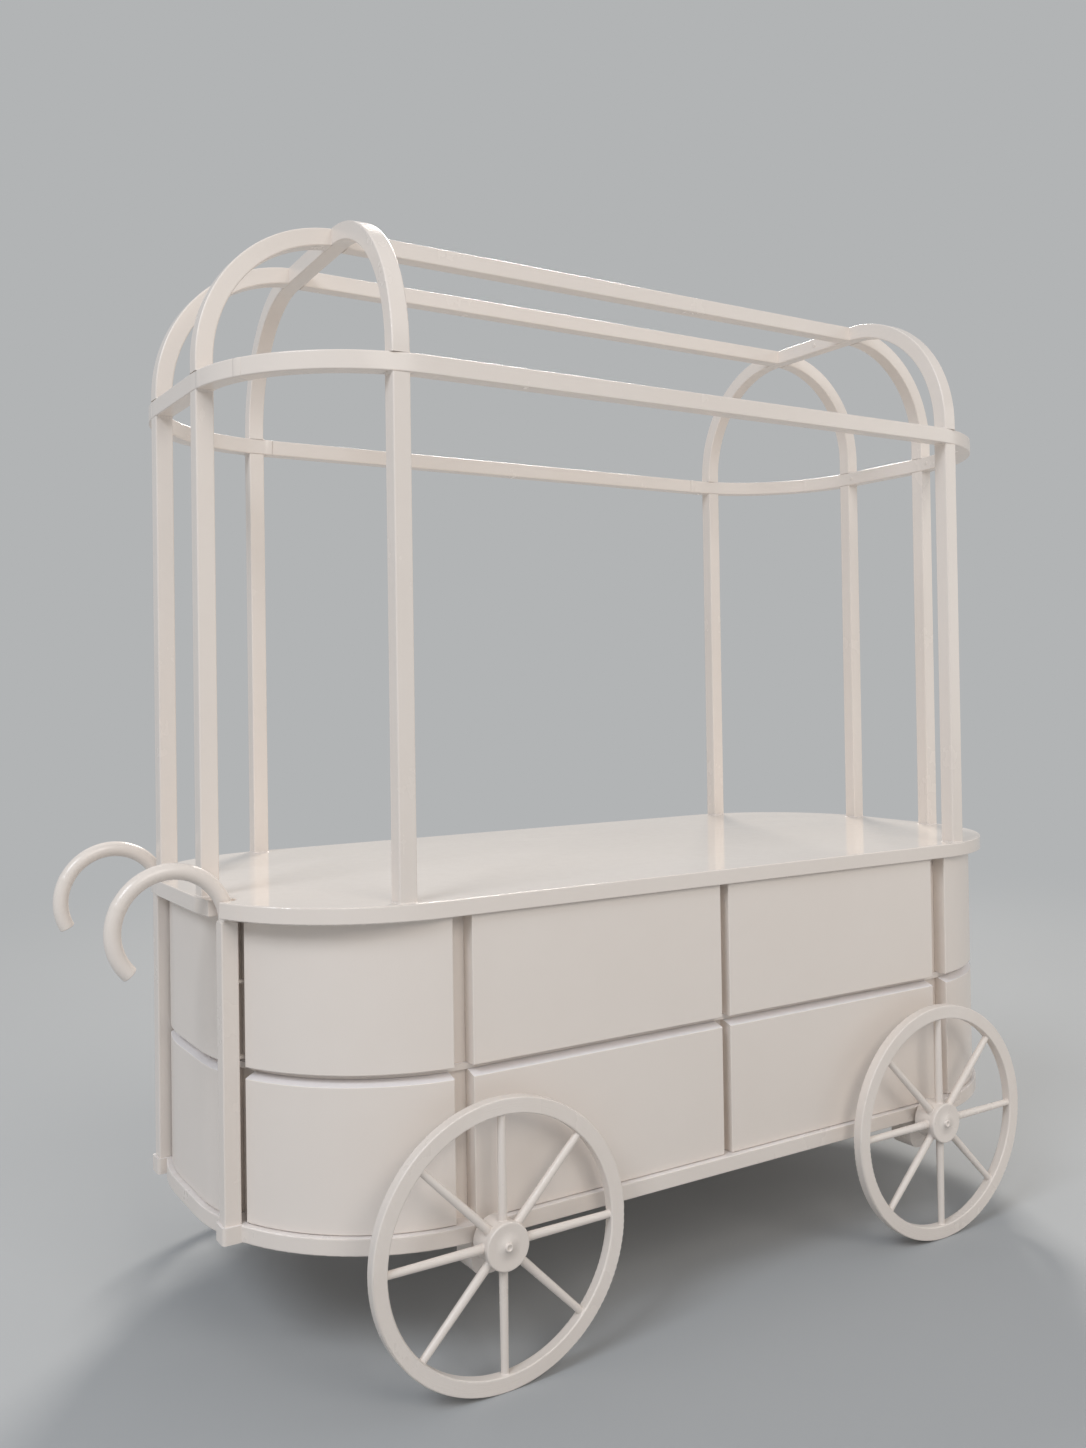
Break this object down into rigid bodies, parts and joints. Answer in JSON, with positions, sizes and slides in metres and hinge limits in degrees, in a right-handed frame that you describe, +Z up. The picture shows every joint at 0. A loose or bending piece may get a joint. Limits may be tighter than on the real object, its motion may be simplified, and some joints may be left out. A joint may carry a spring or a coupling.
{
  "type": "display cart",
  "caption": "Oval display cart: panelled cabinet with a glossy worktop on spoked wheels, two pull hooks and an open hooped canopy frame.",
  "frame": {"origin": "on the floor under the middle of the box round the whole cart, hooks included", "axes": "+X along the cart away from the pull hooks, +Y across it, +Z up; the near long side is -Y"},
  "size_m": [2.314, 1.128, 2.286],
  "materials": {
    "cabinet_paint": "satin white paint on board",
    "worktop_gloss": "high gloss white lacquer",
    "frame_paint": "semi-gloss white paint",
    "wheel_paint": "satin white paint",
    "axle_steel": "turned steel"
  },
  "bodies": {
    "cart": {"axle_blocks": "cabinet_paint", "base_board": "cabinet_paint", "cabinet_wall": "cabinet_paint", "far_handle_post": "frame_paint", "far_hook": "frame_paint", "far_lower_panels": "cabinet_paint", "far_ridge_rail": "frame_paint", "far_ring_rail": "frame_paint", "far_side_posts": "frame_paint", "far_upper_panels": "cabinet_paint", "handle_spacers": "frame_paint", "left_cross_hoop": "frame_paint", "left_end_arches": "frame_paint", "left_end_panels": "cabinet_paint", "left_end_posts": "frame_paint", "left_lower_corners": "cabinet_paint", "left_ring_bow": "frame_paint", "left_upper_corners": "cabinet_paint", "middle_band": "cabinet_paint", "near_handle_post": "frame_paint", "near_hook": "frame_paint", "near_lower_panels": "cabinet_paint", "near_ridge_rail": "frame_paint", "near_ring_rail": "frame_paint", "near_side_posts": "frame_paint", "near_upper_panels": "cabinet_paint", "right_cross_hoop": "frame_paint", "right_end_arches": "frame_paint", "right_end_panels": "cabinet_paint", "right_end_posts": "frame_paint", "right_lower_corners": "cabinet_paint", "right_ring_bow": "frame_paint", "right_upper_corners": "cabinet_paint", "stub_axles": "axle_steel", "worktop": "worktop_gloss"},
    "near_left_wheel": {"near_left_rim": "wheel_paint", "near_left_spokes": "wheel_paint", "near_left_hub": "wheel_paint", "near_left_hub_cap": "wheel_paint"},
    "near_right_wheel": {"near_right_rim": "wheel_paint", "near_right_spokes": "wheel_paint", "near_right_hub": "wheel_paint", "near_right_hub_cap": "wheel_paint"},
    "far_left_wheel": {"far_left_rim": "wheel_paint", "far_left_spokes": "wheel_paint", "far_left_hub": "wheel_paint", "far_left_hub_cap": "wheel_paint"},
    "far_right_wheel": {"far_right_rim": "wheel_paint", "far_right_spokes": "wheel_paint", "far_right_hub": "wheel_paint", "far_right_hub_cap": "wheel_paint"}
  },
  "joints": [
    {"name": "near_left_wheel_turn", "type": "hinge", "parent": "cart", "child": "near_left_wheel", "pos_m": [-0.506, -0.538, 0.274], "axis": [0, 1, 0], "continuous": true},
    {"name": "near_right_wheel_turn", "type": "hinge", "parent": "cart", "child": "near_right_wheel", "pos_m": [0.7, -0.538, 0.274], "axis": [0, 1, 0], "continuous": true},
    {"name": "far_left_wheel_turn", "type": "hinge", "parent": "cart", "child": "far_left_wheel", "pos_m": [-0.506, 0.538, 0.274], "axis": [0, 1, 0], "continuous": true},
    {"name": "far_right_wheel_turn", "type": "hinge", "parent": "cart", "child": "far_right_wheel", "pos_m": [0.7, 0.538, 0.274], "axis": [0, 1, 0], "continuous": true}
  ]
}
